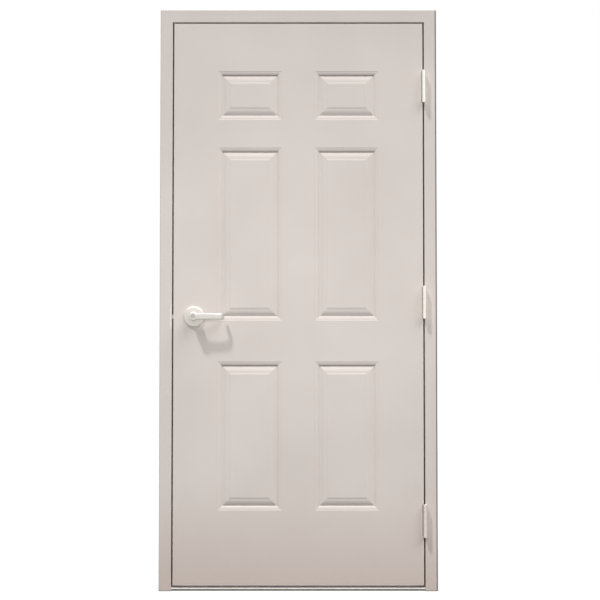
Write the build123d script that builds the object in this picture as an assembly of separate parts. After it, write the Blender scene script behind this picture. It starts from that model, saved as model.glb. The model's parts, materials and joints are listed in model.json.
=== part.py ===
from build123d import *
import os
from math import atan2, degrees

# A six-panel steel door in a welded steel frame, with three butt hinges and a lever lock.
# +Z is up, +X is to the right seen from the pull side, and the pull side faces -Y.
# The origin is on the floor, in the middle of the opening and of the frame's depth.
# All sizes are in millimetres.

# Frame: a double-rabbet section bent from sheet, mitred at the two top corners
RABBET_WIDTH = 914.4
FRAME_DEPTH = 146.0
FRAME_FACE = 44.45
FRAME_RETURN = 12.7
FRONT_RABBET = 49.6
BACK_RABBET = 39.7
STOP_HEIGHT = 15.9
FRAME_SHEET = 1.5
BEND_OUTSIDE = 2.0
BEND_INSIDE = BEND_OUTSIDE - FRAME_SHEET

# Leaf: two pressed face sheets round a core, closed by channels at top and bottom
SIDE_GAP = 5.2
TOP_GAP = 5.2
BOTTOM_GAP = 6.0
THRESHOLD_HEIGHT = 15.0
LEAF_WIDTH = RABBET_WIDTH - 2 * SIDE_GAP
LEAF_HEIGHT = 2032.0
LEAF_THICKNESS = 44.4
LEAF_SHEET = 1.2
LEAF_EDGE_RADIUS = 2.0
LOCK_EDGE_BEVEL = 2.8
CHANNEL_HEIGHT = 20.0
CHANNEL_SHEET = 1.5

# Pressed panels: two columns of three, from the top down
PANEL_WIDTH = 230.0
MULLION = 121.0
TOP_RAIL = 174.0
PANEL_HEIGHTS = (178.0, 628.0, 534.5)
MIDDLE_RAILS = (101.5, 148.5)
GROOVE_DEPTH = 6.5
GROOVE_START = 16.0
GROOVE_END = 17.0
FIELD_START = 47.0

# Hinges: five knuckles each, leaves let in flush with the leaf's edge and the rabbet
HINGE_HEIGHT = 114.3
HINGE_INSET = 175.0
HINGE_PLATE = 3.4
HINGE_LET_IN = 38.0
BARREL_RADIUS = 6.0
PIN_RADIUS = 3.0
PIN_FIT = 0.05
PIN_HEAD = 2.2
PIN_HEAD_RADIUS = 5.4
PIN_FORWARD = 19.0
KNUCKLES = 5
KNUCKLE_GAP = 0.4
PLATE_TO_BARREL = 7.0
FACE_NOTCH = 5.0

# Lock: cross bore, latch and lever
BACKSET = 75.0
LOCK_HEIGHT = 965.0
CROSS_BORE_RADIUS = 27.0
EDGE_BORE_RADIUS = 12.7
LATCH_THROW = 12.7
FACEPLATE = (1.6, 28.6, 57.2)
BOLT_WIDTH = 15.9
BOLT_HEIGHT = 13.0
ROSE_RADIUS = 36.5
ROSE_THICKNESS = 11.0
ROSE_BORE = 13.0
SPINDLE_RADIUS = 6.0
SPINDLE_SEAT = 20.0
HUB_RADIUS = 12.5
HUB_HEAD_RADIUS = 15.5
HUB_START = 4.0
HUB_END = 50.0
LEVER_LENGTH = 111.0
GRIP_THICKNESS = 11.0
GRIP_HEIGHTS = (25.0, 22.0)
GRIP_CHAMFER = 2.5
KEY_CYLINDER_RADIUS = 8.0
KEY_CYLINDER_DEPTH = 18.0

# Strike
STRIKE_HEIGHT = 86.0
STRIKE_DEPTH = 36.0
STRIKE_PLATE = 1.6
LIP_REACH = 5.0
LIP_PROUD = 1.0
LIP_BEND = 4.5

# Threshold
SILL_NOSE = 7.0
SILL_LIP = 2.0
SILL_UNDERCUT = 11.0
SILL_SLOPE = 9.0
SILL_WALL = 3.0
SILL_LEG = 8.0

# Pieces inside the frame
ANCHOR_HEIGHTS = (400.0, 800.0, 1250.0, 1650.0)
ANCHOR_STRAP = 40.0
CLIP_BOLT_RADIUS = 4.75
CLIP_BOLT_INSET = 18.0
SILENCER_HEIGHTS = (330.0, 1020.0, 1720.0)
SILENCER_RADIUS = 5.0
SILENCER_STEM = 2.5

# Places worked out from the sizes above
HALF_RABBET = RABBET_WIDTH / 2
HALF_LEAF = LEAF_WIDTH / 2
FRONT_Y = -FRAME_DEPTH / 2
BACK_Y = FRAME_DEPTH / 2
LEAF_BACK_Y = FRONT_Y + LEAF_THICKNESS
LEAF_MID_Y = FRONT_Y + LEAF_THICKNESS / 2
STOP_Y = FRONT_Y + FRONT_RABBET
LEAF_BOTTOM = THRESHOLD_HEIGHT + BOTTOM_GAP
LEAF_TOP = LEAF_BOTTOM + LEAF_HEIGHT
RABBET_TOP = LEAF_TOP + TOP_GAP
FRAME_TOP = RABBET_TOP + FRAME_FACE
PIN_X = HALF_RABBET - SIDE_GAP / 2
PIN_Y = FRONT_Y - PIN_FORWARD
HINGE_CENTRES = {
    "top": LEAF_TOP - HINGE_INSET - HINGE_HEIGHT / 2,
    "middle": (LEAF_TOP + LEAF_BOTTOM) / 2,
    "bottom": LEAF_BOTTOM + HINGE_INSET + HINGE_HEIGHT / 2,
}
LOCK_Z = LEAF_BOTTOM + LOCK_HEIGHT
SPINDLE_X = BACKSET - HALF_LEAF
BEVEL_ANGLE = degrees(atan2(LOCK_EDGE_BEVEL, LEAF_THICKNESS))
LOCK_EDGE_X = LOCK_EDGE_BEVEL / 2 - HALF_LEAF


def block(x, y, z):
    """A box between two limits on each axis."""
    size = Box(x[1] - x[0], y[1] - y[0], z[1] - z[0])
    return Pos((x[0] + x[1]) / 2, (y[0] + y[1]) / 2, (z[0] + z[1]) / 2) * size


def rod(radius, start, end):
    """A round bar from one point to another."""
    axis = Vector(*end) - Vector(*start)
    return extrude(Plane(origin=start, z_dir=axis) * Circle(radius), axis.length)


def bent_sheet(plane, points, radii, thickness, side, length):
    """A sheet bent along an open outline and extruded, its thickness to one side of the outline."""
    outline = FilletPolyline(*points, radius=radii).offset_2d(thickness, side=side, closed=True)
    return extrude(plane * make_face(outline.edges()), length)


# Frame

def frame_member(plane, length):
    """A length of the frame's section: local x runs into the opening, local y to the back."""
    points = [
        (-FRAME_FACE, FRONT_Y + FRAME_RETURN),
        (-FRAME_FACE, FRONT_Y),
        (0, FRONT_Y),
        (0, STOP_Y),
        (STOP_HEIGHT, STOP_Y),
        (STOP_HEIGHT, BACK_Y - BACK_RABBET),
        (0, BACK_Y - BACK_RABBET),
        (0, BACK_Y),
        (-FRAME_FACE, BACK_Y),
        (-FRAME_FACE, BACK_Y - FRAME_RETURN),
    ]
    out, into = BEND_OUTSIDE, BEND_INSIDE
    radii = [out, out, into, out, out, into, out, out]
    return bent_sheet(plane, points, radii, FRAME_SHEET, Side.LEFT, length)


def mitre_plane(side):
    """The plane of the welded corner on the left (-1) or right (1), facing up and inwards."""
    return Plane(origin=(side * HALF_RABBET, 0, RABBET_TOP), z_dir=(-side, 0, 1))


def plain_jamb():
    """The left-hand upright, cut off along its mitre."""
    upright = frame_member(Plane((-HALF_RABBET, 0, 0)), FRAME_TOP)
    return split(upright, bisect_by=mitre_plane(-1), keep=Keep.BOTTOM)


def make_frame_head():
    """The member across the top, mitred at both ends."""
    half = HALF_RABBET + FRAME_FACE
    plane = Plane(origin=(-half, 0, RABBET_TOP), x_dir=(0, 0, -1), z_dir=(1, 0, 0))
    head = frame_member(plane, 2 * half)
    for side in (-1, 1):
        head = split(head, bisect_by=mitre_plane(side), keep=Keep.TOP)
    return head


def make_strike_jamb():
    """The upright on the lock side, pressed in behind the strike and drilled for the silencers."""
    pressed = strike_bend(STRIKE_PLATE + FRAME_SHEET, STRIKE_HEIGHT + 2 * FRAME_SHEET)
    jamb = plain_jamb() + (pressed & behind_face((-HALF_RABBET - LIP_REACH, -HALF_RABBET)))
    jamb -= strike_bend(STRIKE_PLATE, STRIKE_HEIGHT)
    x = -HALF_RABBET + STOP_HEIGHT / 2
    holes = [rod(SILENCER_STEM, (x, STOP_Y - 1, z), (x, STOP_Y + 3, z)) for z in SILENCER_HEIGHTS]
    return jamb - latch_hole(1.0) - holes


def behind_face(x):
    """All that lies behind the frame's front face between two limits across."""
    return block(x, (FRONT_Y, 0), (0, FRAME_TOP))


def make_hinge_jamb():
    """The upright on the hinge side, pressed in behind each hinge plate."""
    jamb = mirror(plain_jamb(), about=Plane.YZ)
    pressed_x = (HALF_RABBET + BEND_INSIDE, HALF_RABBET + HINGE_PLATE + FRAME_SHEET)
    for z in HINGE_CENTRES.values():
        jamb += hinge_pocket(pressed_x, z, FRAME_SHEET) & behind_face(pressed_x)
        jamb -= hinge_pocket((HALF_RABBET - 1, HALF_RABBET + HINGE_PLATE), z)
    return jamb


def hinge_pocket(x, z, wall=0.0):
    """The space that a hinge plate is let into, open at the front, with a wall round it or none."""
    half = HINGE_HEIGHT / 2 + wall
    return block(x, (FRONT_Y - 1, FRONT_Y + HINGE_LET_IN + wall), (z - half, z + half))


def make_hinge_reinforcement(z):
    """A heavy plate behind the rabbet, jogged back where the hinge plate seats."""
    seat = HALF_RABBET + HINGE_PLATE + FRAME_SHEET
    inside = HALF_RABBET + FRAME_SHEET
    half = HINGE_HEIGHT / 2 + FRAME_SHEET
    thickness = 3.0
    ears = 35.0
    points = [
        (inside, z - half - ears),
        (inside, z - half - 4),
        (seat, z - half),
        (seat, z + half),
        (inside, z + half + 4),
        (inside, z + half + ears),
    ]
    plane = Plane(origin=(0, FRONT_Y + HINGE_LET_IN, 0), x_dir=(1, 0, 0), z_dir=(0, -1, 0))
    outline = Polyline(*points).offset_2d(thickness, side=Side.RIGHT, closed=True)
    return extrude(plane * make_face(outline.edges()), HINGE_LET_IN - BEND_OUTSIDE - 2)


def strike_bend(thickness, height):
    """A sheet in the rabbet that curls round the frame's front corner, its outside where the strike's is."""
    plane = Plane((-HALF_RABBET, 0, LOCK_Z - height / 2))
    points = [(-LIP_REACH, FRONT_Y - LIP_PROUD), (0, FRONT_Y - LIP_PROUD)]
    points.append((0, FRONT_Y + STRIKE_DEPTH + thickness - STRIKE_PLATE))
    return bent_sheet(plane, points, [LIP_BEND], thickness, Side.LEFT, height)


def latch_hole(margin):
    """The hole that the latch bolt enters, cleared by a margin."""
    return block(
        (-HALF_RABBET - 5, -HALF_RABBET + 5),
        (LEAF_MID_Y - BOLT_WIDTH / 2 - 2 - margin, LEAF_MID_Y + BOLT_WIDTH / 2 + 2 + margin),
        (LOCK_Z - BOLT_HEIGHT / 2 - 6 - margin, LOCK_Z + BOLT_HEIGHT / 2 + 6 + margin),
    )


def make_strike_plate():
    """A thin plate with the latch hole and a lip that curls round the frame's front corner."""
    return strike_bend(STRIKE_PLATE, STRIKE_HEIGHT) - latch_hole(0)


def make_strike_box():
    """A sheet box behind the strike that keeps the wall out of the latch's way."""
    wall = 1.2
    mouth_x = -HALF_RABBET - STRIKE_PLATE - FRAME_SHEET
    y = (LEAF_MID_Y - 13, LEAF_MID_Y + 13)
    z = (LOCK_Z - 26, LOCK_Z + 26)
    outer = block((mouth_x - 22, mouth_x), y, z)
    inner = block(
        (mouth_x - 22 + wall, mouth_x + 1),
        (y[0] + wall, y[1] - wall),
        (z[0] + wall, z[1] - wall),
    )
    return outer - inner


def make_threshold():
    """A sill between the jambs with a sloped nose over a set-back foot, hollow underneath."""
    top = [
        (FRONT_Y + SILL_UNDERCUT, 0), (FRONT_Y + SILL_UNDERCUT, SILL_NOSE),
        (FRONT_Y, SILL_NOSE), (FRONT_Y, SILL_NOSE + SILL_LIP),
        (FRONT_Y + SILL_SLOPE, THRESHOLD_HEIGHT), (BACK_Y - SILL_SLOPE, THRESHOLD_HEIGHT),
        (BACK_Y, SILL_NOSE + SILL_LIP), (BACK_Y, SILL_NOSE),
        (BACK_Y - SILL_UNDERCUT, SILL_NOSE), (BACK_Y - SILL_UNDERCUT, 0),
    ]
    plane = Plane(origin=(-HALF_RABBET, 0, 0), x_dir=(0, 1, 0), z_dir=(1, 0, 0))
    sill = extrude(plane * make_face(Polyline(*top, close=True)), RABBET_WIDTH)
    hollow_width = (FRAME_DEPTH - 2 * SILL_UNDERCUT - 3 * SILL_LEG) / 2
    for side in (-1, 1):
        middle = side * (SILL_LEG + hollow_width) / 2
        y = (middle - hollow_width / 2, middle + hollow_width / 2)
        sill -= block((-HALF_RABBET - 1, HALF_RABBET + 1), y, (-1, THRESHOLD_HEIGHT - SILL_WALL))
        x = sorted((side * (HALF_RABBET - STOP_HEIGHT - 0.5), side * (HALF_RABBET + 1)))
        sill -= block(x, (STOP_Y - 0.5, BACK_Y - BACK_RABBET + 0.5), (-1, THRESHOLD_HEIGHT + 1))
    return sill


def make_floor_clip():
    """The left-hand angle that bolts the jamb's foot to the floor from inside the section."""
    plate = 2.5
    inside_stop = -HALF_RABBET + STOP_HEIGHT - FRAME_SHEET
    points = [(inside_stop, 60), (inside_stop, 0), (-HALF_RABBET - FRAME_FACE + 4, 0)]
    plane = Plane(origin=(0, 22, 0), x_dir=(1, 0, 0), z_dir=(0, -1, 0))
    clip = bent_sheet(plane, points, [3.0], plate, Side.RIGHT, 40)
    bolt_x = -HALF_RABBET - CLIP_BOLT_INSET
    return clip - rod(CLIP_BOLT_RADIUS, (bolt_x, 0, -1), (bolt_x, 0, plate + 1))


def make_jamb_anchors():
    """Straps across the left jamb's hollow, one above the other, that the wall is fixed to."""
    inner = FRAME_DEPTH / 2 - FRAME_SHEET
    web_x = -HALF_RABBET - FRAME_FACE + 17
    points = [(web_x + 22, -inner), (web_x, -inner), (web_x, inner), (web_x + 22, inner)]
    straps = []
    for z in ANCHOR_HEIGHTS:
        straps.append(bent_sheet(Plane((0, 0, z)), points, [3.0, 3.0], FRAME_SHEET, Side.RIGHT, ANCHOR_STRAP))
    return Compound(straps)


def make_silencers():
    """Rubber buttons on the strike jamb's stop that the leaf closes against."""
    height = STOP_Y - LEAF_BACK_Y - 0.4
    x = -HALF_RABBET + STOP_HEIGHT / 2
    buttons = []
    for z in SILENCER_HEIGHTS:
        button = rod(SILENCER_RADIUS, (x, STOP_Y, z), (x, STOP_Y - height, z))
        stem = rod(SILENCER_STEM, (x, STOP_Y - 1, z), (x, STOP_Y + 5, z))
        buttons.append(chamfer(button.faces().sort_by(Axis.Y)[0].edges(), 1.6) + stem)
    return Compound(buttons)


# Leaf

def leaf_plan(inset):
    """The leaf's plan, square on the hinge side and bevelled on the lock side, drawn in by a wall."""
    right = HALF_LEAF - inset
    front = FRONT_Y + inset
    back = LEAF_BACK_Y - inset
    slope = LOCK_EDGE_BEVEL / LEAF_THICKNESS
    left_front = inset * (1 + slope) - HALF_LEAF
    left_back = left_front + (back - front) * slope
    plan = make_face(Polyline((left_front, front), (right, front), (right, back), (left_back, back), close=True))
    return fillet(plan.vertices(), LEAF_EDGE_RADIUS - inset)


def panel_section():
    """The pressed moulding in section: an edge, a rounded fall, a narrow groove, a hollow rise, a small step."""
    groove = -GROOVE_DEPTH
    edge = Line((0, 0), (2.5, -0.9))
    fall = ThreePointArc((2.5, -0.9), (10, -2.3), (GROOVE_START, groove))
    floor = Line((GROOVE_START, groove), (GROOVE_END, groove))
    rise = ThreePointArc((GROOVE_END, groove), (24, -3.6), (34, -1.7))
    flat = Line((34, -1.7), (40.5, -1.2))
    step = ThreePointArc((40.5, -1.2), (44, -0.45), (FIELD_START, 0))
    lid = Polyline((FIELD_START, 0), (FIELD_START, 1), (0, 1), (0, 0))
    return make_face(Curve() + [edge, fall, floor, rise, flat, step, lid])


def groove_side(length):
    """The moulding along one side of a panel, mitred at both ends, inwards along +Z from y = 0."""
    plane = Plane(origin=(-length / 2, 0, 0), x_dir=(0, 0, 1), z_dir=(1, 0, 0))
    side = extrude(plane * panel_section(), length)
    side = split(side, bisect_by=Plane(origin=(-length / 2, 0, 0), z_dir=(1, 0, -1)), keep=Keep.TOP)
    return split(side, bisect_by=Plane(origin=(length / 2, 0, 0), z_dir=(-1, 0, -1)), keep=Keep.TOP)


def panel_outlines():
    """Centre, width and height of each pressed panel on the leaf's face."""
    column = (MULLION + PANEL_WIDTH) / 2
    top = LEAF_TOP - TOP_RAIL
    outlines = []
    for height, rail in zip(PANEL_HEIGHTS, MIDDLE_RAILS + (0.0,)):
        for x in (-column, column):
            outlines.append((x, top - height, top))
        top -= height + rail
    return outlines


def panel_groove(x, bottom, top, face_y):
    """What the press takes out of one face round one panel."""
    middle = (bottom + top) / 2
    across = groove_side(PANEL_WIDTH)
    upright = groove_side(top - bottom)
    return [
        Pos(x, face_y, bottom) * across,
        Pos(x, face_y, top) * Rot(0, 180, 0) * across,
        Pos(x + PANEL_WIDTH / 2, face_y, middle) * Rot(0, -90, 0) * upright,
        Pos(x - PANEL_WIDTH / 2, face_y, middle) * Rot(0, 90, 0) * upright,
    ]


def embossed_slab(inset, bottom, top):
    """The leaf's solid form, drawn in by a wall, with the panels pressed into both faces."""
    slab = extrude(Plane((0, 0, bottom)) * leaf_plan(inset), top - bottom)
    grooves = []
    for outline in panel_outlines():
        grooves += panel_groove(*outline, FRONT_Y + inset)
    middle = Plane(origin=(0, LEAF_MID_Y, 0), z_dir=(0, 1, 0))
    grooves += [mirror(groove, about=middle) for groove in grooves]
    return slab - grooves


def hinge_mortises():
    """The pockets for the three hinge plates in the leaf's edge."""
    x = (HALF_LEAF - HINGE_PLATE, HALF_LEAF + 1)
    return [hinge_pocket(x, z) for z in HINGE_CENTRES.values()]


def face_notches():
    """Where the front sheet is cut back beside each hinge plate."""
    half = HINGE_HEIGHT / 2
    x = (HALF_LEAF - FACE_NOTCH, HALF_LEAF + 1)
    y = (FRONT_Y - 1, FRONT_Y + LEAF_SHEET)
    return [block(x, y, (z - half, z + half)) for z in HINGE_CENTRES.values()]


def edge_plane(depth):
    """A plane in the bevelled lock edge at the latch, facing out, at a depth inside the edge."""
    turned = Plane(origin=(LOCK_EDGE_X, LEAF_MID_Y, LOCK_Z), x_dir=(0, 0, 1), z_dir=(-1, 0, 0))
    return turned.rotated((0, 0, -BEVEL_ANGLE)).offset(-depth)


def lock_bores():
    """The cross bore, the edge bore and the faceplate's pocket."""
    cross = rod(CROSS_BORE_RADIUS, (SPINDLE_X, FRONT_Y - 5, LOCK_Z), (SPINDLE_X, LEAF_BACK_Y + 5, LOCK_Z))
    edge = rod(EDGE_BORE_RADIUS, (-HALF_LEAF - 5, LEAF_MID_Y, LOCK_Z), (SPINDLE_X, LEAF_MID_Y, LOCK_Z))
    thickness, width, height = FACEPLATE
    pocket = extrude(edge_plane(thickness) * Rectangle(height, width), thickness + 5)
    return [cross, edge, pocket]


def make_leaf_skins():
    """The front and back face sheets, each folded round half of both edges."""
    outer = embossed_slab(0, LEAF_BOTTOM, LEAF_TOP)
    inner = embossed_slab(LEAF_SHEET, LEAF_BOTTOM, LEAF_TOP)
    shell = outer - inner - hinge_mortises() - face_notches() - lock_bores()
    x = (-HALF_LEAF - 1, HALF_LEAF + 1)
    z = (LEAF_BOTTOM - 1, LEAF_TOP + 1)
    front_half = block(x, (FRONT_Y - 1, LEAF_MID_Y), z)
    back_half = block(x, (LEAF_MID_Y, LEAF_BACK_Y + 1), z)
    return shell & front_half, shell & back_half


def make_channel(at_top):
    """The channel that closes the leaf's top or bottom, its trough facing out."""
    inner_front = FRONT_Y + LEAF_SHEET
    inner_back = LEAF_BACK_Y - LEAF_SHEET
    lip = LEAF_TOP if at_top else LEAF_BOTTOM
    web = lip - CHANNEL_HEIGHT if at_top else lip + CHANNEL_HEIGHT
    points = [(inner_front, lip), (inner_front, web), (inner_back, web), (inner_back, lip)]
    plane = Plane(origin=(-HALF_LEAF, 0, 0), x_dir=(0, 1, 0), z_dir=(1, 0, 0))
    side = Side.LEFT if at_top else Side.RIGHT
    channel = bent_sheet(plane, points, [2.0, 2.0], CHANNEL_SHEET, side, LEAF_WIDTH)
    return channel & extrude(Plane((0, 0, LEAF_BOTTOM)) * leaf_plan(LEAF_SHEET), LEAF_HEIGHT)


def make_door_core():
    """The filling between the two face sheets and the two channels."""
    core = embossed_slab(LEAF_SHEET, LEAF_BOTTOM + CHANNEL_HEIGHT, LEAF_TOP - CHANNEL_HEIGHT)
    return core - hinge_mortises() - lock_bores()


# Hinges, each with its pin on a vertical axis in front of the gap

def knuckle_span(z, index):
    """The heights between which one knuckle of the hinge at z lies."""
    pitch = HINGE_HEIGHT / KNUCKLES
    low = z - HINGE_HEIGHT / 2 + index * pitch
    return low + KNUCKLE_GAP / 2, low + pitch - KNUCKLE_GAP / 2


def make_hinge_leaf(z, side):
    """A hinge plate with its knuckles: side 1 on the frame (outer and middle ones), -1 on the leaf."""
    near = PIN_X + side * SIDE_GAP / 2
    x = sorted((near, near + side * HINGE_PLATE))
    half = HINGE_HEIGHT / 2
    plate = block(x, (PIN_Y + PLATE_TO_BARREL, FRONT_Y + HINGE_LET_IN), (z - half, z + half))
    first = 0 if side == 1 else 1
    for index in range(first, KNUCKLES, 2):
        low, high = knuckle_span(z, index)
        plate += block(x, (PIN_Y, PIN_Y + PLATE_TO_BARREL), (low, high))
        plate += rod(BARREL_RADIUS, (PIN_X, PIN_Y, low), (PIN_X, PIN_Y, high))
    for index in range(first, KNUCKLES, 2):
        low, high = knuckle_span(z, index)
        plate -= rod(PIN_RADIUS + PIN_FIT, (PIN_X, PIN_Y, low - 1), (PIN_X, PIN_Y, high + 1))
    return plate


def make_hinge_pin(z):
    """The pin with a button head on top and a rounded tip below the lowest knuckle."""
    low = z - HINGE_HEIGHT / 2 + KNUCKLE_GAP / 2
    high = z + HINGE_HEIGHT / 2 - KNUCKLE_GAP / 2
    head = rod(PIN_HEAD_RADIUS, (PIN_X, PIN_Y, high), (PIN_X, PIN_Y, high + PIN_HEAD))
    head = chamfer(head.faces().sort_by(Axis.Z)[-1].edges(), PIN_HEAD * 0.5)
    tip = rod(PIN_HEAD_RADIUS, (PIN_X, PIN_Y, low - PIN_HEAD), (PIN_X, PIN_Y, low))
    tip = chamfer(tip.faces().sort_by(Axis.Z)[0].edges(), PIN_HEAD * 0.5)
    return rod(PIN_RADIUS, (PIN_X, PIN_Y, low), (PIN_X, PIN_Y, high)) + head + tip


# Lock

def make_latch_faceplate():
    """The plate in the lock edge that guides the bolt."""
    thickness, width, height = FACEPLATE
    plate = extrude(edge_plane(thickness) * RectangleRounded(height, width, 3.0), thickness)
    hole = block(
        (LOCK_EDGE_X - 5, LOCK_EDGE_X + 5),
        (LEAF_MID_Y - BOLT_WIDTH / 2 - 0.4, LEAF_MID_Y + BOLT_WIDTH / 2 + 0.4),
        (LOCK_Z - BOLT_HEIGHT / 2 - 0.4, LOCK_Z + BOLT_HEIGHT / 2 + 0.4),
    )
    return plate - hole


def make_latch_tube():
    """The tube behind the faceplate that the bolt slides in."""
    start = (-HALF_LEAF, LEAF_MID_Y, LOCK_Z)
    end = (SPINDLE_X - CROSS_BORE_RADIUS + 1, LEAF_MID_Y, LOCK_Z)
    tube = rod(EDGE_BORE_RADIUS - 0.2, start, end) - rod(EDGE_BORE_RADIUS - 1.7, start, end)
    return split(tube, bisect_by=edge_plane(FACEPLATE[0]), keep=Keep.BOTTOM)


def make_latch_bolt():
    """The spring latch, its nose bevelled on the closing side, with a round tail to the lock."""
    tip = LOCK_EDGE_X - LATCH_THROW
    heel = LOCK_EDGE_X + 14
    front = LEAF_MID_Y - BOLT_WIDTH / 2
    back = LEAF_MID_Y + BOLT_WIDTH / 2
    outline = Polyline(
        (heel, front), (tip, front), (tip, front + 3), (LOCK_EDGE_X - 1, back), (heel, back), close=True
    )
    plane = Plane((0, 0, LOCK_Z - BOLT_HEIGHT / 2))
    nose = extrude(plane * make_face(outline), BOLT_HEIGHT)
    return nose + rod(4.0, (heel, LEAF_MID_Y, LOCK_Z), (LOCK_EDGE_X + 44, LEAF_MID_Y, LOCK_Z))


def make_lock_chassis():
    """The round lock body that fills the cross bore and carries the spindle."""
    body = rod(CROSS_BORE_RADIUS - 0.3, (SPINDLE_X, FRONT_Y, LOCK_Z), (SPINDLE_X, LEAF_BACK_Y, LOCK_Z))
    bore = SPINDLE_RADIUS + PIN_FIT
    body -= rod(bore, (SPINDLE_X, FRONT_Y - 1, LOCK_Z), (SPINDLE_X, LEAF_BACK_Y + 1, LOCK_Z))
    tail_end = LOCK_EDGE_X + 44 + LATCH_THROW + 1
    body -= rod(5.0, (SPINDLE_X - 40, LEAF_MID_Y, LOCK_Z), (tail_end, LEAF_MID_Y, LOCK_Z))
    seat = block(
        (SPINDLE_X - 40, SPINDLE_X - CROSS_BORE_RADIUS + 1.2),
        (LEAF_MID_Y - 14, LEAF_MID_Y + 14),
        (LOCK_Z - 14, LOCK_Z + 14),
    )
    return body - seat


def lock_side(direction):
    """A plane on the leaf's face at the spindle, facing out: direction -1 is the front, 1 the back."""
    face = FRONT_Y if direction < 0 else LEAF_BACK_Y
    return Plane(origin=(SPINDLE_X, face, LOCK_Z), x_dir=(1, 0, 0), z_dir=(0, direction, 0))


def make_rose(direction):
    """The cover round the spindle: a rim, a shallow cone and a collar, in section."""
    collar = 16.0
    section = Polyline(
        (ROSE_BORE, 0), (ROSE_RADIUS, 0), (ROSE_RADIUS, 3.0), (ROSE_RADIUS - 4, 5.6), (collar, 8.8),
        (collar, ROSE_THICKNESS), (ROSE_BORE, ROSE_THICKNESS),
        close=True,
    )
    turned = revolve(make_face(section), axis=Axis.Y)
    return lock_side(direction) * (Rot(90, 0, 0) * turned)


def make_grip():
    """The lever's flat bar, tapering along its length and bent back to the leaf at its end."""
    plan = Plane(origin=(0, HUB_HEAD_RADIUS, 0), x_dir=(1, 0, 0), z_dir=(0, -1, 0))
    along = [(0, 49), (LEVER_LENGTH - 30, 48), (LEVER_LENGTH - 2, 40), (LEVER_LENGTH, 14)]
    bar = bent_sheet(plan, along, [60.0, 22.0], GRIP_THICKNESS, Side.RIGHT, 2 * HUB_HEAD_RADIUS)
    wide, narrow = GRIP_HEIGHTS
    front = [(0, -wide / 2), (LEVER_LENGTH, -narrow / 2), (LEVER_LENGTH, narrow / 2), (0, wide / 2)]
    bar &= extrude(make_face(Polyline(*front, close=True)), HUB_END)
    return chamfer([edge for edge in bar.edges() if edge.center().X > 1], GRIP_CHAMFER)


def make_lever(direction):
    """A grip on a flared hub that is bored for the spindle and, in front, for the key cylinder."""
    neck_end = ROSE_THICKNESS + 1.5
    section = Polyline(
        (0, HUB_START), (HUB_RADIUS, HUB_START), (HUB_RADIUS, neck_end),
        (HUB_HEAD_RADIUS, neck_end + 6), (HUB_HEAD_RADIUS, HUB_END - 2), (HUB_HEAD_RADIUS - 2, HUB_END),
        (0, HUB_END),
        close=True,
    )
    hub = revolve(Plane.XZ * make_face(section), axis=Axis.Z)
    lever = hub + make_grip()
    lever -= extrude(Plane((0, 0, HUB_START)) * Circle(SPINDLE_RADIUS + PIN_FIT), SPINDLE_SEAT)
    if direction < 0:
        lever -= extrude(Plane((0, 0, HUB_END - KEY_CYLINDER_DEPTH)) * Circle(KEY_CYLINDER_RADIUS), 30)
    return lock_side(direction) * lever


def make_key_cylinder():
    """The keyed plug in the end of the front lever's hub."""
    start = HUB_END - KEY_CYLINDER_DEPTH
    plug = extrude(Plane((0, 0, start)) * Circle(KEY_CYLINDER_RADIUS), KEY_CYLINDER_DEPTH + 0.6)
    keyway = extrude(Plane((0, 0, HUB_END - 6)) * Rectangle(1.6, 9.0), 10)
    return lock_side(-1) * (plug - keyway)


def make_spindle():
    """The round spindle through the lock that joins the two levers."""
    reach = HUB_START + SPINDLE_SEAT
    start = (SPINDLE_X, FRONT_Y - reach, LOCK_Z)
    return rod(SPINDLE_RADIUS, start, (SPINDLE_X, LEAF_BACK_Y + reach, LOCK_Z))


def save(name, shape):
    """Writes one piece under its own name."""
    export_step(shape, f"parts/{name}.step")


def save_frame():
    """The welded frame and what is fixed to it."""
    save("strike_jamb", make_strike_jamb())
    save("hinge_jamb", make_hinge_jamb())
    save("frame_head", make_frame_head())
    save("threshold", make_threshold())
    save("strike_plate", make_strike_plate())
    save("strike_box", make_strike_box())
    save("silencers", make_silencers())
    clip = make_floor_clip()
    anchors = make_jamb_anchors()
    save("floor_clip_left", clip)
    save("floor_clip_right", mirror(clip, about=Plane.YZ))
    save("jamb_anchors_left", anchors)
    save("jamb_anchors_right", mirror(anchors, about=Plane.YZ))


def save_leaf():
    """The leaf's sheets, channels and core."""
    front, back = make_leaf_skins()
    save("front_skin", front)
    save("back_skin", back)
    save("door_core", make_door_core())
    save("top_channel", make_channel(at_top=True))
    save("bottom_channel", make_channel(at_top=False))


def save_hinges():
    """The three hinges, each as a frame plate, a leaf plate, a pin and a plate behind the rabbet."""
    for place, z in HINGE_CENTRES.items():
        save(f"frame_hinge_plate_{place}", make_hinge_leaf(z, side=1))
        save(f"door_hinge_plate_{place}", make_hinge_leaf(z, side=-1))
        save(f"hinge_pin_{place}", make_hinge_pin(z))
        save(f"hinge_reinforcement_{place}", make_hinge_reinforcement(z))


def save_lock():
    """The lock in the leaf, its levers and its latch."""
    save("lock_chassis", make_lock_chassis())
    save("latch_faceplate", make_latch_faceplate())
    save("latch_tube", make_latch_tube())
    save("latch_bolt", make_latch_bolt())
    save("front_rose", make_rose(-1))
    save("back_rose", make_rose(1))
    save("front_lever", make_lever(-1))
    save("back_lever", make_lever(1))
    save("key_cylinder", make_key_cylinder())
    save("lever_spindle", make_spindle())


def main():
    os.makedirs("parts", exist_ok=True)
    save_frame()
    save_leaf()
    save_hinges()
    save_lock()


if __name__ == "__main__":
    main()
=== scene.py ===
import json
from math import pi, radians

import bmesh
import bpy
from mathutils import Matrix, Vector


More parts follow.
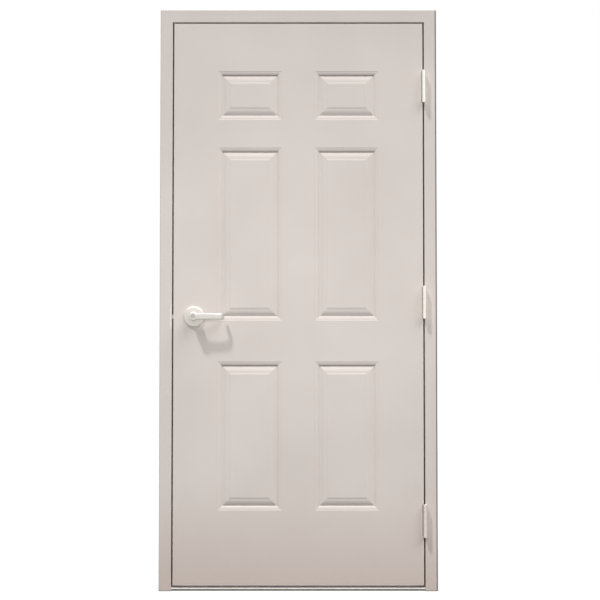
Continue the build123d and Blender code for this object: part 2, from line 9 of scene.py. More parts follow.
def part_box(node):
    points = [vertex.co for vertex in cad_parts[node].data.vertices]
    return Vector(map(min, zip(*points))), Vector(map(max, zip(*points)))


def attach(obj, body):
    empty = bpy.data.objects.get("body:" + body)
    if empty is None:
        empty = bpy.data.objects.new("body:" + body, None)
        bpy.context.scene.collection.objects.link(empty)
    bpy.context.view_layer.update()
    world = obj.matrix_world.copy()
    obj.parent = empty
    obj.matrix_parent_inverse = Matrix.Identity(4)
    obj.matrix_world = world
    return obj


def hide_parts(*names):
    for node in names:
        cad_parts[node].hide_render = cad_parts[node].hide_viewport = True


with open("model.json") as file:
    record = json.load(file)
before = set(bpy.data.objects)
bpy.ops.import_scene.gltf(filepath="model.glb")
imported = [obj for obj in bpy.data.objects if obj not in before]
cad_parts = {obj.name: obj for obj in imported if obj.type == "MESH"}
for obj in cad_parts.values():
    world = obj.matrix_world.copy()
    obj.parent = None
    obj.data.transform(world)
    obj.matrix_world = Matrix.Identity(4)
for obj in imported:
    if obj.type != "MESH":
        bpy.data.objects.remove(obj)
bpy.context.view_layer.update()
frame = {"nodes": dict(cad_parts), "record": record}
nodes = frame["nodes"]
slot_of = {row["node"]: row["material_slot"] for row in frame["record"]["subparts"]}

# The camera: its place in metres, its tilt in degrees, its lens in millimetres, and how far its
# picture is off centre, in pixels of the picture's size
CAMERA_PLACE = (0.0137, -4.682, 0.896)
CAMERA_TILT = 2.0
LENS = 76.5
PICTURE_SIZE = 600
OFF_CENTRE = (-2.1, -3.1)

# Places on the door, read from the frame
RABBET_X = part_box("threshold")[1].x
LEAF_EDGE_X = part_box("front_skin")[1].x
FACE_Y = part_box("front_skin")[0].y
LEAF_BACK_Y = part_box("back_skin")[1].y
LEAF_MIDDLE_Y = (FACE_Y + LEAF_BACK_Y) / 2
LEAF_MIDDLE_Z = (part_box("front_skin")[0].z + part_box("front_skin")[1].z) / 2
SILL_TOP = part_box("threshold")[1].z
FRAME_EDGE_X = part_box("hinge_jamb")[1].x
FRAME_TOP_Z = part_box("frame_head")[1].z
SPINDLE_LOW, SPINDLE_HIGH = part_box("lever_spindle")
SPINDLE_X = (SPINDLE_LOW.x + SPINDLE_HIGH.x) / 2
SPINDLE_Z = (SPINDLE_LOW.z + SPINDLE_HIGH.z) / 2
HINGE_PLACES = ("top", "middle", "bottom")


# Finishes

# How a grain is stretched: into lines along an axis, or not at all
ALONG_X = (0.02, 1, 1)
ALONG_Z = (1, 1, 0.02)
EVEN = (1, 1, 1)
FLATTENED = (1, 1, 2.2)

# Grains and cells, so many a metre
PAINT_CLOUDS = 3.0
SHEEN_CLOUDS = 14.0
SCUFF_MARKS = 42.0
ORANGE_PEEL = 620.0
GRINDING_LINES = 900.0
DULL_SPOTS = 90.0
ZINC_SPANGLE = 110.0
RUBBER_BLOOM = 160.0
RUBBER_GRAIN = 1500.0
PAPER_CELLS = 70.0

# Depths of the fine relief
PEEL_DEPTH = 0.00006
GRINDING_DEPTH = 0.00001
RUBBER_DEPTH = 0.00004

# How much of a colour is left, as one share or one each of its red, green and blue
PALE_CLOUD = 1.035
DULL_CLOUD = (0.962, 0.955, 0.952)
# Painted highlight on the edges
EDGE_HIGHLIGHT = 1.13
SCUFFED = 0.80
# A dusting near the floor, partly painted shade for the light's falloff towards the foot
FLOOR_DUST_AND_SHADE = (0.86, 0.80, 0.775)
# Painted shade along the frame's outer edges
EDGE_SHADE = 0.16
# Painted shade under the panels' top edges
GROOVE_SHADE = (0.36, 0.28, 0.25)
# A dusting on the mouldings' upper sides, partly painted shade that tones down their light
MOULDING_DUST_AND_SHADE = (0.84, 0.83, 0.82)
DULL_PLATING = 0.95
# The hinge darker and browner towards the floor
LOW_HINGE_TINT = (0.77, 0.70, 0.71)

# Where the leaf's plain rim starts and where it is full, sideways and upwards from its middle
RIM_ASIDE = (0.42, 0.43)
RIM_ABOVE = (0.97, 0.98)

# Painted shade lines at the frame's outer edges: their strength, and how far in each is full and
# ends
HINGE_SIDE_SHADE = (0.85, 0.0042, 0.0058)
LOCK_SIDE_SHADE = (0.25, 0.0010, 0.0030)
HEAD_SHADE = (0.30, 0.0010, 0.0030)
FOOT_SHADE = (0.55, 0.0025, 0.0045)

# Heights over the floor: where the dusting with painted shade and the scuffs end, and where the
# hinge's darker, browner tint and the painted shade under the sill's nose are full and end
DUST_AND_SHADE_TOP = 0.50
SCUFFS_TOP = 0.16
LOW_HINGE_TINT_HEIGHTS = (0.35, 0.60)
NOSE_SHADE = (0.0050, 0.0068)

# On the mouldings, where the painted shade under the panels' top edges, and the dusting with
# painted shade on their upper sides, start and where they are full: the depth under the leaf's
# face, and the upward part of the surface's normal
GROOVE_DEPTHS = (0.0036, 0.0054)
GROOVE_SLOPES = (-0.48, -0.62)
MOULDING_DEPTHS = (0.0004, 0.0010)
MOULDING_SLOPES = (0.20, 0.60)

# How wide the painted edge highlights are, and the turn of the normal, as a cosine, at which they
# show
HIGHLIGHT_WIDTH = 0.0022
HIGHLIGHT_TURNS = (0.86, 0.995)

# Roughness
PAINT_ROUGHNESS = (0.37, 0.50)
ZINC_ROUGHNESS = (0.34, 0.56)
GRINDING_ROUGHNESS = 0.07


def bare_finish(name, colour, roughness, metallic=0.0):
    """A material with one shader, whose even values are set on the shader itself."""
    finish = bpy.data.materials.new(name)
    finish.use_nodes = True
    shader = finish.node_tree.nodes["Principled BSDF"]
    shader.inputs["Base Color"].default_value = (*colour, 1)
    shader.inputs["Roughness"].default_value = roughness
    shader.inputs["Metallic"].default_value = metallic
    return finish


def feed(tree, value, name):
    """Leads a value or colour to one of the shader's inputs."""
    tree.links.new(value, tree.nodes["Principled BSDF"].inputs[name])


def shade(colour, share):
    """A colour made darker or paler, by one share or by one for each of its three parts."""
    shares = share if isinstance(share, tuple) else (share, share, share)
    return [min(1.0, part * left) for part, left in zip(colour, shares)]


def object_place(tree, stretch=EVEN):
    """Object coordinates, stretched along each axis."""
    coordinate = tree.nodes.new("ShaderNodeTexCoord")
    mapping = tree.nodes.new("ShaderNodeMapping")
    mapping.inputs["Scale"].default_value = stretch
    tree.links.new(coordinate.outputs["Object"], mapping.inputs["Vector"])
    return mapping.outputs["Vector"]


def part_of_place(tree, axis):
    """One of the three object coordinates."""
    apart = tree.nodes.new("ShaderNodeSeparateXYZ")
    tree.links.new(object_place(tree), apart.inputs["Vector"])
    return apart.outputs[axis]


def grain(tree, scale, detail=3.0, stretch=EVEN):
    """Cloudy noise with so many clouds a metre."""
    noise = tree.nodes.new("ShaderNodeTexNoise")
    noise.inputs["Scale"].default_value = scale
    noise.inputs["Detail"].default_value = detail
    tree.links.new(object_place(tree, stretch), noise.inputs["Vector"])
    return noise.outputs["Fac"]


def between(tree, value, low, high, from_low=0.3, from_high=0.7):
    """A number carried from one range to another and held inside it."""
    spread = tree.nodes.new("ShaderNodeMapRange")
    spread.inputs["From Min"].default_value = from_low
    spread.inputs["From Max"].default_value = from_high
    spread.inputs["To Min"].default_value = low
    spread.inputs["To Max"].default_value = high
    tree.links.new(value, spread.inputs["Value"])
    return spread.outputs["Result"]


def worked_out(tree, operation, first, second=0.0):
    """One or two numbers, each a value or a socket, put through a named operation."""
    sum_node = tree.nodes.new("ShaderNodeMath")
    sum_node.operation = operation
    for socket, number in zip(sum_node.inputs, (first, second)):
        if isinstance(number, bpy.types.NodeSocket):
            tree.links.new(number, socket)
        else:
            socket.default_value = number
    return sum_node.outputs["Value"]


def tinted(tree, amount, first, second):
    """A colour between two, each a colour or a socket."""
    mix = tree.nodes.new("ShaderNodeMix")
    mix.data_type = "RGBA"
    tree.links.new(amount, mix.inputs["Factor"])
    for name, colour in (("A", first), ("B", second)):
        socket = next(s for s in mix.inputs if s.name == name and s.type == "RGBA")
        if isinstance(colour, bpy.types.NodeSocket):
            tree.links.new(colour, socket)
        else:
            socket.default_value = (*colour, 1)
    return next(s for s in mix.outputs if s.type == "RGBA")


def cover(tree, amount, colour):
    """Lays a colour over what the finish already shows, as far as the amount goes."""
    below = tree.nodes["Principled BSDF"].inputs["Base Color"].links[0].from_socket
    feed(tree, tinted(tree, amount, below, colour), "Base Color")


def raised(tree, height, depth):
    """A bump whose highest and lowest points are so many metres apart."""
    bump = tree.nodes.new("ShaderNodeBump")
    bump.inputs["Distance"].default_value = depth
    bump.inputs["Strength"].default_value = 1.0
    tree.links.new(height, bump.inputs["Height"])
    feed(tree, bump.outputs["Normal"], "Normal")


def near_edge(tree):
    """How close a point is to a sharp edge: 0 on a flat face, more on the edge itself."""
    rounded = tree.nodes.new("ShaderNodeBevel")
    rounded.samples = 6
    rounded.inputs["Radius"].default_value = HIGHLIGHT_WIDTH
    true = tree.nodes.new("ShaderNodeNewGeometry")
    turn = tree.nodes.new("ShaderNodeVectorMath")
    turn.operation = "DOT_PRODUCT"
    tree.links.new(rounded.outputs["Normal"], turn.inputs[0])
    tree.links.new(true.outputs["Normal"], turn.inputs[1])
    return between(tree, turn.outputs["Value"], 1.0, 0.0, *HIGHLIGHT_TURNS)


def round_the_rim(tree):
    """1 outside the pressed panels, near the leaf's sides, top and foot, and 0 in the middle."""
    sideways = worked_out(tree, "ABSOLUTE", part_of_place(tree, "X"))
    up = worked_out(tree, "SUBTRACT", part_of_place(tree, "Z"), LEAF_MIDDLE_Z)
    upwards = worked_out(tree, "ABSOLUTE", up)
    beside = between(tree, sideways, 0.0, 1.0, *RIM_ASIDE)
    beyond = between(tree, upwards, 0.0, 1.0, *RIM_ABOVE)
    return worked_out(tree, "MAXIMUM", beside, beyond)


def shade_along_the_outer_edges(tree):
    """Painted shade: dark lines along the frame's outer edges and foot, darkest on the hinge side.
    """
    x = part_of_place(tree, "X")
    strength, full, end = HINGE_SIDE_SHADE
    hinge_side = between(tree, x, 0.0, strength, FRAME_EDGE_X - end, FRAME_EDGE_X - full)
    strength, full, end = LOCK_SIDE_SHADE
    lock_side = between(tree, x, strength, 0.0, full - FRAME_EDGE_X, end - FRAME_EDGE_X)
    z = part_of_place(tree, "Z")
    strength, full, end = HEAD_SHADE
    head = between(tree, z, 0.0, strength, FRAME_TOP_Z - end, FRAME_TOP_Z - full)
    strength, full, end = FOOT_SHADE
    foot = between(tree, z, strength, 0.0, full, end)
    sides = worked_out(tree, "MAXIMUM", hinge_side, lock_side)
    ends = worked_out(tree, "MAXIMUM", head, foot)
    return worked_out(tree, "MAXIMUM", sides, ends)


def sprayed_paint(name, colour):
    """Satin factory paint: faint clouds, fine orange peel and painted highlights on the edges;
    near the floor a dusting with painted shade and scuffs; painted shade along the frame's outer
    edges."""
    finish = bare_finish(name, colour, 0.42)
    tree = finish.node_tree
    z = part_of_place(tree, "Z")
    clouds = between(tree, grain(tree, PAINT_CLOUDS, 2.0), 0, 1)
    clouded = tinted(tree, clouds, shade(colour, DULL_CLOUD), shade(colour, PALE_CLOUD))
    feed(tree, clouded, "Base Color")
    # Darker towards the floor: a dusting, and painted shade for the light's falloff towards the
    # foot
    dust_and_shade = between(tree, z, 1.0, 0.0, 0.0, DUST_AND_SHADE_TOP)
    cover(tree, worked_out(tree, "MULTIPLY", dust_and_shade, dust_and_shade), shade(colour, FLOOR_DUST_AND_SHADE))
    low = between(tree, z, 1.0, 0.0, 0.0, SCUFFS_TOP)
    scuffs = between(tree, grain(tree, SCUFF_MARKS, 5.0, FLATTENED), 0.0, 0.75, 0.56, 0.72)
    cover(tree, worked_out(tree, "MULTIPLY", low, scuffs), shade(colour, SCUFFED))
    # Painted highlight: paler paint along sharp edges outside the pressed panels, for light the
    # edges catch
    highlighted_edges = worked_out(tree, "MULTIPLY", near_edge(tree), round_the_rim(tree))
    cover(tree, highlighted_edges, shade(colour, EDGE_HIGHLIGHT))
    # Painted shade: dark lines along the frame's outer edges and foot, strongest on the hinge side
    cover(tree, shade_along_the_outer_edges(tree), shade(colour, EDGE_SHADE))
    feed(tree, between(tree, grain(tree, SHEEN_CLOUDS), *PAINT_ROUGHNESS), "Roughness")
    raised(tree, grain(tree, ORANGE_PEEL, 2.0), PEEL_DEPTH)
    return finish


def on_the_mouldings(tree, depths, slopes):
    """1 on the panels' mouldings, on either face of the leaf, where they lie deeper than the
    depths and lean further than the slopes."""
    y = part_of_place(tree, "Y")
    from_front = worked_out(tree, "SUBTRACT", y, FACE_Y)
    from_back = worked_out(tree, "SUBTRACT", LEAF_BACK_Y, y)
    depth = worked_out(tree, "MINIMUM", from_front, from_back)
    surface = tree.nodes.new("ShaderNodeNewGeometry")
    parts = tree.nodes.new("ShaderNodeSeparateXYZ")
    tree.links.new(surface.outputs["Normal"], parts.inputs["Vector"])
    lean = worked_out(tree, "MULTIPLY", parts.outputs["Z"], 1.0 if slopes[1] > 0 else -1.0)
    deep = between(tree, depth, 0.0, 1.0, *depths)
    steep = between(tree, lean, 0.0, 1.0, *(abs(slope) for slope in slopes))
    panels = worked_out(tree, "SUBTRACT", 1.0, round_the_rim(tree))
    return worked_out(tree, "MULTIPLY", worked_out(tree, "MULTIPLY", deep, steep), panels)


def grooved_paint(name, colour):
    """The leaf's paint, with brown painted shade under the top edge of each panel, and a dusting
    with painted shade on the mouldings' upper sides."""
    finish = sprayed_paint(name, colour)
    tree = finish.node_tree
    # Painted shade: dark brown paint on the down-facing walls of the grooves under each panel's
    # top edge
    shade_in_the_grooves = on_the_mouldings(tree, GROOVE_DEPTHS, GROOVE_SLOPES)
    cover(tree, shade_in_the_grooves, shade(colour, GROOVE_SHADE))
    # A dusting on the up-facing mouldings, partly painted shade that tones down the light on them
    dust_and_shade = on_the_mouldings(tree, MOULDING_DEPTHS, MOULDING_SLOPES)
    cover(tree, dust_and_shade, shade(colour, MOULDING_DUST_AND_SHADE))
    return finish


def satin_plate(name, colour, roughness, stretch, metallic=1.0):
    """Metal with fine grinding lines, or an even fine grain, and a few dull spots."""
    finish = bare_finish(name, colour, roughness, metallic)
    tree = finish.node_tree
    lines = grain(tree, GRINDING_LINES, 2.0, stretch)
    spots = between(tree, grain(tree, DULL_SPOTS, 4.0), 0.0, 1.0, 0.52, 0.75)
    feed(tree, tinted(tree, spots, colour, shade(colour, DULL_PLATING)), "Base Color")
    low, high = roughness - GRINDING_ROUGHNESS, roughness + GRINDING_ROUGHNESS
    feed(tree, between(tree, lines, low, high), "Roughness")
    raised(tree, lines, GRINDING_DEPTH)
    return finish


def hinge_plating(name, colour):
    """Plating ground along the barrel; the hinge is darker and browner towards the floor."""
    finish = satin_plate(name, colour, 0.42, ALONG_Z)
    tree = finish.node_tree
    # Darker and browner towards the floor
    low_tint = between(tree, part_of_place(tree, "Z"), 1.0, 0.0, *LOW_HINGE_TINT_HEIGHTS)
    cover(tree, low_tint, shade(colour, LOW_HINGE_TINT))
    return finish


def sill_metal(name, colour):
    """Ground metal along the opening, with near-black painted shade under its nose, less metallic
    there.
    """
    finish = satin_plate(name, colour, 0.40, ALONG_X)
    tree = finish.node_tree
    z = part_of_place(tree, "Z")
    # Painted shade: near-black and less metallic under the sill's nose
    cover(tree, between(tree, z, 1.0, 0.0, *NOSE_SHADE), (0.045, 0.040, 0.036))
    feed(tree, between(tree, z, 0.0, 0.25, *NOSE_SHADE), "Metallic")
    return finish


def galvanised_sheet(name):
    """Zinc-coated sheet with its grey spangle."""
    finish = bare_finish(name, (0.56, 0.57, 0.57), 0.45, metallic=0.9)
    tree = finish.node_tree
    spangle = tree.nodes.new("ShaderNodeTexVoronoi")
    spangle.inputs["Scale"].default_value = ZINC_SPANGLE
    tree.links.new(object_place(tree), spangle.inputs["Vector"])
    grey = tree.nodes.new("ShaderNodeRGBToBW")
    tree.links.new(spangle.outputs["Color"], grey.inputs["Color"])
    shown = grey.outputs["Val"]
    feed(tree, tinted(tree, shown, (0.46, 0.47, 0.48), (0.66, 0.67, 0.66)), "Base Color")
    feed(tree, between(tree, shown, *ZINC_ROUGHNESS, 0, 1), "Roughness")
    return finish


def grey_rubber(name):
    """Soft rubber with a dusty bloom."""
    finish = bare_finish(name, (0.20, 0.20, 0.20), 0.75)
    tree = finish.node_tree
    bloom = between(tree, grain(tree, RUBBER_BLOOM, 4.0), 0, 1)
    feed(tree, tinted(tree, bloom, (0.16, 0.16, 0.16), (0.26, 0.25, 0.25)), "Base Color")
    raised(tree, grain(tree, RUBBER_GRAIN, 2.0), RUBBER_DEPTH)
    return finish


def paper_honeycomb(name):
    """Dark brown paper filling, its cells painted darker inside as shade in their hollows."""
    finish = bare_finish(name, (0.16, 0.10, 0.07), 0.9)
    tree = finish.node_tree
    cells = tree.nodes.new("ShaderNodeTexVoronoi")
    cells.feature = "DISTANCE_TO_EDGE"
    cells.inputs["Scale"].default_value = PAPER_CELLS
    tree.links.new(object_place(tree), cells.inputs["Vector"])
    # Painted shade in the cells' hollows
    inside = between(tree, cells.outputs["Distance"], 0.0, 1.0, 0.02, 0.12)
    feed(tree, tinted(tree, inside, (0.17, 0.11, 0.075), (0.07, 0.045, 0.03)), "Base Color")
    return finish


FINISHES = {
    "frame_paint": sprayed_paint("frame paint", (0.690, 0.630, 0.590)),
    "leaf_paint": grooved_paint("leaf paint", (0.705, 0.645, 0.603)),
    "threshold_metal": sill_metal("mill finish", (0.67, 0.630, 0.595)),
    "hinge_steel": hinge_plating("hinge plating", (0.86, 0.84, 0.79)),
    "pin_steel": satin_plate("pin plating", (0.84, 0.82, 0.78), 0.36, ALONG_Z),
    "lock_trim": satin_plate("lock trim plating", (0.68, 0.645, 0.605), 0.42, EVEN, metallic=0.68),
    "key_plug": satin_plate("key plug plating", (0.52, 0.49, 0.44), 0.30, ALONG_X),
    "latch_steel": satin_plate("latch plating", (0.80, 0.79, 0.76), 0.30, ALONG_Z),
    "lock_body": satin_plate("lock body zinc", (0.50, 0.495, 0.48), 0.50, EVEN),
    "inner_steel": galvanised_sheet("galvanised sheet"),
    "core_honeycomb": paper_honeycomb("paper honeycomb"),
    "grey_rubber": grey_rubber("silencer rubber"),
}


def finish_nodes():
    """Gives every node of the frame the finish of its slot."""
    for name, node in nodes.items():
        finish = FINISHES[slot_of[name]]
        if not node.data.materials:
            node.data.materials.append(finish)
        for place in node.material_slots:
            place.material = finish


# New pieces

# Points closer together than this are one
ONE_POINT = 1e-6

# How many points a turned piece, a screw's head and a section of the grip have round them
TURNED_STEPS = 72
HEAD_STEPS = 28
GRIP_STEPS = 32

# How far a screw's head stands over its plate, and how far its rim goes in
HEAD_PROUD = 0.00055
HEAD_SUNK = 0.00015

# The cross recess narrows to this share at its floor
RECESS_TAPER = 0.7

# Creases sharper than this many degrees stay sharp in a smooth piece
CREASE = 38

# The grip's sections: how far each is along from the spindle and out from the leaf, its turn in
# degrees, its height and its thickness
GRIP_SECTIONS = [
    (0.0000, 0.0435, 0.7, 0.0246, 0.0108), (0.0350, 0.0431, 0.7, 0.0237, 0.0108),
    (0.0730, 0.0426, 0.7, 0.0228, 0.0107), (0.0802, 0.0419, 8.0, 0.0226, 0.0107),
    (0.0872, 0.0405, 15.9, 0.0225, 0.0107), (0.0928, 0.0389, 18.0, 0.0224, 0.0107),
    (0.0986, 0.0359, 39.0, 0.0222, 0.0107), (0.1028, 0.0308, 62.0, 0.0220, 0.0107),
    (0.1047, 0.0243, 83.0, 0.0219, 0.0106), (0.1053, 0.0168, 85.6, 0.0216, 0.0104),
    (0.1054, 0.0148, 85.6, 0.0190, 0.0080),
]

# How a circle is squared off into a section: 1 leaves it round, 0 makes it a box
SQUARED = 0.62

# The hub's radii, each with its height over the leaf
HUB_PROFILE = [
    (0.0, 0.004), (0.0125, 0.004), (0.0125, 0.0125), (0.0134, 0.0140), (0.0150, 0.0180),
    (0.0155, 0.0225), (0.0155, 0.0455), (0.0151, 0.0475), (0.0139, 0.0492), (0.0122, 0.0500),
    (0.0, 0.0500),
]

# How finely the lever is melted together, and how often it is polished
MELT_SIZE = 0.0006
POLISHINGS = 14


def new_piece(name, mesh, body, slot):
    """A finished piece from a bmesh, with its slot's finish and a body to ride on."""
    data = bpy.data.meshes.new(name)
    mesh.to_mesh(data)
    mesh.free()
    piece = bpy.data.objects.new(name, data)
    bpy.context.scene.collection.objects.link(piece)
    data.materials.append(FINISHES[slot])
    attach(piece, body)
    return piece


def facing(place, direction):
    """A turn that points local +Z along a direction, moved to a place."""
    turn = Vector(direction).to_track_quat("Z", "Y").to_matrix().to_4x4()
    return Matrix.Translation(place) @ turn


def add_mesh(mesh, other):
    """Adds a second bmesh to the first."""
    part = bpy.data.meshes.new("part")
    other.to_mesh(part)
    other.free()
    mesh.from_mesh(part)
    bpy.data.meshes.remove(part)


def screw_head(place, direction, radius):
    """A low closed head with a sloped rim and a cross recess, a little proud of its plate."""
    crown, arm, wide, deep = radius * 0.80, radius * 0.52, radius * 0.15, radius * 0.45
    mesh = bmesh.new()
    bmesh.ops.create_circle(mesh, cap_ends=True, segments=HEAD_STEPS, radius=crown)
    rim = list(mesh.edges)
    for growth, drop in ((radius / crown, HEAD_PROUD), (1.0, HEAD_SUNK)):
        skirt = bmesh.ops.extrude_edge_only(mesh, edges=rim)["geom"]
        lower = [item for item in skirt if isinstance(item, bmesh.types.BMVert)]
        bmesh.ops.scale(mesh, verts=lower, vec=(growth, growth, 1))
        bmesh.ops.translate(mesh, verts=lower, vec=(0, 0, -drop))
        edges = [item for item in skirt if isinstance(item, bmesh.types.BMEdge)]
        rim = [edge for edge in edges if all(v in lower for v in edge.verts)]
    bmesh.ops.edgeloop_fill(mesh, edges=rim)
    for axis in (0, 1):
        for off in (-arm, -wide, wide, arm):
            spot, normal = Vector(), Vector()
            spot[axis], normal[axis] = off, 1
            whole = [*mesh.verts, *mesh.edges, *mesh.faces]
            bmesh.ops.bisect_plane(mesh, geom=whole, plane_co=spot, plane_no=normal)
    recess = []
    for face in mesh.faces:
        middle = face.calc_center_median()
        across, along = sorted((abs(middle.x), abs(middle.y)))
        if across < wide and along < arm and abs(middle.z) < ONE_POINT:
            recess.append(face)
    pushed = bmesh.ops.extrude_face_region(mesh, geom=recess)["geom"]
    floor = [item for item in pushed if isinstance(item, bmesh.types.BMVert)]
    bmesh.ops.scale(mesh, vec=(RECESS_TAPER, RECESS_TAPER, 1), verts=floor)
    bmesh.ops.translate(mesh, verts=floor, vec=(0, 0, -deep))
    bmesh.ops.delete(mesh, geom=recess, context="FACES")
    bmesh.ops.recalc_face_normals(mesh, faces=mesh.faces)
    seat = Vector(place) + Vector(direction).normalized() * HEAD_PROUD
    bmesh.ops.transform(mesh, matrix=facing(seat, direction), verts=mesh.verts)
    return mesh


def make_screws(name, places, direction, radius, body):
    """Several equal screw heads as one piece."""
    mesh = bmesh.new()
    for place in places:
        add_mesh(mesh, screw_head(place, direction, radius))
    new_piece(name, mesh, body, "lock_body")


def make_hinge_screws():
    """Four staggered screws in each hinge plate, on the frame and on the leaf."""
    near, far = FACE_Y + 0.013, FACE_Y + 0.027
    outer, inner, radius = 0.043, 0.0165, 0.0048
    spots = [(near, outer), (far, inner), (far, -inner), (near, -outer)]
    for place in HINGE_PLACES:
        low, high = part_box(f"frame_hinge_plate_{place}")
        middle = (low.z + high.z) / 2
        jamb = [(RABBET_X, y, middle + up) for y, up in spots]
        leaf = [(LEAF_EDGE_X, y, middle + up) for y, up in spots]
        make_screws(f"jamb_hinge_screws_{place}", jamb, (-1, 0, 0), radius, "frame")
        make_screws(f"leaf_hinge_screws_{place}", leaf, (1, 0, 0), radius, "door")


def make_strike_screws():
    """Two screws in the strike."""
    behind, spread, radius = 0.024, 0.032, 0.0042
    spots = [(-RABBET_X, FACE_Y + behind, SPINDLE_Z + up) for up in (-spread, spread)]
    make_screws("strike_screws", spots, (1, 0, 0), radius, "frame")


def make_faceplate_screws():
    """Two screws in the latch's faceplate, which leans with the leaf's edge."""
    thick, wide, spread, radius = 0.0016, 0.0286, 0.0206, 0.0036
    low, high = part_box("latch_faceplate")
    lean = (high.x - low.x - thick) / wide
    edge_x = (low.x + high.x - thick) / 2
    spots = [(edge_x, LEAF_MIDDLE_Y, SPINDLE_Z + up) for up in (-spread, spread)]
    make_screws("faceplate_screws", spots, (-1, -lean, 0), radius, "door")


def make_threshold_screws():
    """Three screws through the threshold's top behind the leaf."""
    row_y, spread, radius = 0.047, 0.36, 0.0048
    spots = [(x, row_y, SILL_TOP) for x in (-spread, 0.0, spread)]
    make_screws("threshold_screws", spots, (0, 0, 1), radius, "frame")


def turned_profile(mesh, profile, place, direction):
    """Spins a profile of radii and heights into a closed round form about a direction."""
    spun = [mesh.verts.new((radius, 0, height)) for radius, height in profile]
    edges = [mesh.edges.new(pair) for pair in zip(spun, spun[1:])]
    bmesh.ops.spin(
        mesh, geom=[*spun, *edges], axis=(0, 0, 1), cent=(0, 0, 0),
        angle=2 * pi, steps=TURNED_STEPS, use_merge=True,
    )
    bmesh.ops.remove_doubles(mesh, verts=mesh.verts, dist=ONE_POINT)
    bmesh.ops.recalc_face_normals(mesh, faces=mesh.faces)
    bmesh.ops.transform(mesh, matrix=facing(place, direction), verts=mesh.verts)


def smooth(piece):
    """Shades every face of a piece smooth."""
    for face in piece.data.polygons:
        face.use_smooth = True


def make_rose(name, direction, face_y):
    """The domed cover with its rolled rim and raised collar."""
    low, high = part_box(name)
    radius, tall = (high.x - low.x) / 2, high.y - low.y
    bore, collar = 0.0130, 0.0160
    profile = [
        (bore, 0.0), (radius - 0.0002, 0.0), (radius, 0.0006), (radius, 0.0040),
        (radius - 0.0005, 0.0050), (radius - 0.0016, 0.0058), (radius - 0.0045, 0.0067),
        (radius - 0.0110, 0.0078), (0.0185, 0.0086), (0.0166, 0.0088), (collar, 0.0092),
        (collar, tall - 0.0008), (0.0152, tall), (bore, tall), (bore, 0.0),
    ]
    mesh = bmesh.new()
    turned_profile(mesh, profile, (SPINDLE_X, face_y, SPINDLE_Z), (0, direction, 0))
    rose = new_piece(name + "_cover", mesh, "door", "lock_trim")
    smooth(rose)
    rose.data.set_sharp_from_angle(angle=radians(CREASE))
    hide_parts(name)


def grip_ring(mesh, section, direction, face_y):
    """One section of the grip, between an oval and a box, returned as its edges."""
    along, out, turn, height, thickness = section
    place = (SPINDLE_X + along, face_y + direction * out, SPINDLE_Z)
    stand = Matrix.Translation(place) @ Matrix.Rotation(-direction * radians(turn), 4, "Z")
    made = bmesh.ops.create_circle(mesh, segments=GRIP_STEPS, radius=1)
    for v in made["verts"]:
        across, up = (abs(c) ** SQUARED * (1 if c > 0 else -1) for c in v.co.xy)
        v.co = stand @ Vector((0, across * thickness / 2, up * height / 2))
    return list({edge for v in made["verts"] for edge in v.link_edges})


def make_lever(name, direction, face_y):
    """The cast lever: a hub and a grip that turns back to the leaf, melted into one."""
    mesh = bmesh.new()
    rings = [grip_ring(mesh, section, direction, face_y) for section in GRIP_SECTIONS]
    for ring, following in zip(rings, rings[1:]):
        bmesh.ops.bridge_loops(mesh, edges=[*ring, *following])
    bmesh.ops.edgeloop_fill(mesh, edges=rings[0])
    bmesh.ops.edgeloop_fill(mesh, edges=rings[-1])
    bmesh.ops.recalc_face_normals(mesh, faces=mesh.faces)
    hub = bmesh.new()
    turned_profile(hub, HUB_PROFILE, (SPINDLE_X, face_y, SPINDLE_Z), (0, direction, 0))
    add_mesh(mesh, hub)
    lever = new_piece(name + "_casting", mesh, "lever", "lock_trim")
    melt = lever.modifiers.new("melt", "REMESH")
    melt.mode = "VOXEL"
    melt.voxel_size = MELT_SIZE
    polish = lever.modifiers.new("polish", "SMOOTH")
    polish.iterations = POLISHINGS
    shaped = lever.evaluated_get(bpy.context.evaluated_depsgraph_get())
    lever.data = bpy.data.meshes.new_from_object(shaped)
    lever.modifiers.clear()
    smooth(lever)
    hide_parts(name)


# Stage

# Half the floor's side, and how brightly the camera sees it
FLOOR_REACH = 20
FLOOR_GLOW = 0.86

# The sky's strength for the door's lighting, and as the camera sees it
SKY_STRENGTHS = (0.10, 1.0)


def seen_directly(tree):
    """1 for rays that the camera, a gloss or a glass sees the background by, otherwise 0."""
    path = tree.nodes.new("ShaderNodeLightPath")
    most = path.outputs["Is Camera Ray"]
    for kind in ("Is Glossy Ray", "Is Transmission Ray"):
        most = worked_out(tree, "MAXIMUM", most, path.outputs[kind])
    return most


def make_floor():
    """A plain pale floor that looks white to the camera and keeps the door's shadow."""
    mesh = bmesh.new()
    bmesh.ops.create_grid(mesh, x_segments=1, y_segments=1, size=FLOOR_REACH)
    data = bpy.data.meshes.new("floor")
    mesh.to_mesh(data)
    mesh.free()
    floor = bpy.data.objects.new("floor", data)
    bpy.context.scene.collection.objects.link(floor)
    paint = bare_finish("pale floor", (0.15, 0.15, 0.15), 0.9)
    tree = paint.node_tree
    lit = tree.nodes["Principled BSDF"]
    lit.inputs["Specular IOR Level"].default_value = 0.0
    glow = tree.nodes.new("ShaderNodeEmission")
    strength = worked_out(tree, "MULTIPLY", seen_directly(tree), FLOOR_GLOW)
    tree.links.new(strength, glow.inputs["Strength"])
    both = tree.nodes.new("ShaderNodeAddShader")
    tree.links.new(lit.outputs["BSDF"], both.inputs[0])
    tree.links.new(glow.outputs["Emission"], both.inputs[1])
    tree.links.new(both.outputs["Shader"], tree.nodes["Material Output"].inputs["Surface"])
    data.materials.append(paint)


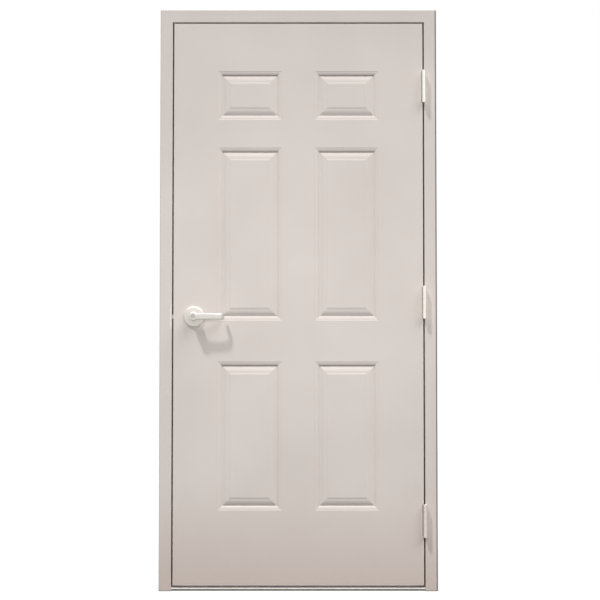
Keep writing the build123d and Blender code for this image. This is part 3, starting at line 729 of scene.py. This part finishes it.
def make_background():
    """White to the camera, and an even dim sky to the object."""
    world = bpy.data.worlds.new("studio")
    world.use_nodes = True
    tree = world.node_tree
    shine = tree.nodes["Background"]
    strength = between(tree, seen_directly(tree), *SKY_STRENGTHS, 0, 1)
    tree.links.new(strength, shine.inputs["Strength"])
    shine.inputs["Color"].default_value = (1, 1, 1, 1)
    bpy.context.scene.world = world


def add_lamp(light, direction):
    """A lamp shining along a direction, from the world's middle until it is moved."""
    lamp = bpy.data.objects.new(light.name, light)
    lamp.rotation_mode = "QUATERNION"
    lamp.rotation_quaternion = Vector(direction).to_track_quat("-Z", "Y")
    bpy.context.scene.collection.objects.link(lamp)
    return lamp


def add_sun(name, energy, spread, direction):
    """A distant lamp, so many degrees wide as the door sees it."""
    light = bpy.data.lights.new(name, "SUN")
    light.energy = energy
    light.angle = radians(spread)
    add_lamp(light, direction)


def add_soft_lamp(name, energy, size, place, direction):
    """A soft rectangular lamp at a place, which shows in no reflection."""
    light = bpy.data.lights.new(name, "AREA")
    light.shape = "RECTANGLE"
    light.size, light.size_y = size
    light.energy = energy
    lamp = add_lamp(light, direction)
    lamp.location = place
    lamp.visible_glossy = False
    lamp.visible_camera = False


def make_lamps():
    """A high lamp on the left that throws the lever's shadow, a broader one on the right, and
    soft ones before and behind."""
    add_sun("high left", 2.15, 4, (1.0, 1.0, -2.6))
    add_sun("high right", 1.80, 36, (-1.15, 1.0, -1.9))
    add_soft_lamp("soft front", 15, (2.0, 0.6), (0, -2.0, 1.25), (0, 1, 0))
    add_soft_lamp("soft back", 75, (1.6, 1.2), (1.2, 2.6, 2.9), (-1.0, -2.6, -1.7))


def make_camera():
    """A camera at the photograph's viewing angle."""
    lens = bpy.data.cameras.new("camera")
    lens.lens = LENS
    lens.shift_x = OFF_CENTRE[0] / PICTURE_SIZE
    lens.shift_y = OFF_CENTRE[1] / PICTURE_SIZE
    camera = bpy.data.objects.new("camera", lens)
    camera.location = CAMERA_PLACE
    camera.rotation_euler = (radians(90 + CAMERA_TILT), 0, 0)
    bpy.context.scene.collection.objects.link(camera)
    bpy.context.scene.camera = camera


finish_nodes()
make_hinge_screws()
make_strike_screws()
make_faceplate_screws()
make_threshold_screws()
make_rose("front_rose", -1, FACE_Y)
make_rose("back_rose", 1, LEAF_BACK_Y)
make_lever("front_lever", -1, FACE_Y)
make_lever("back_lever", 1, LEAF_BACK_Y)
make_floor()
make_background()
make_lamps()
make_camera()
bpy.context.scene.view_settings.view_transform = "Standard"
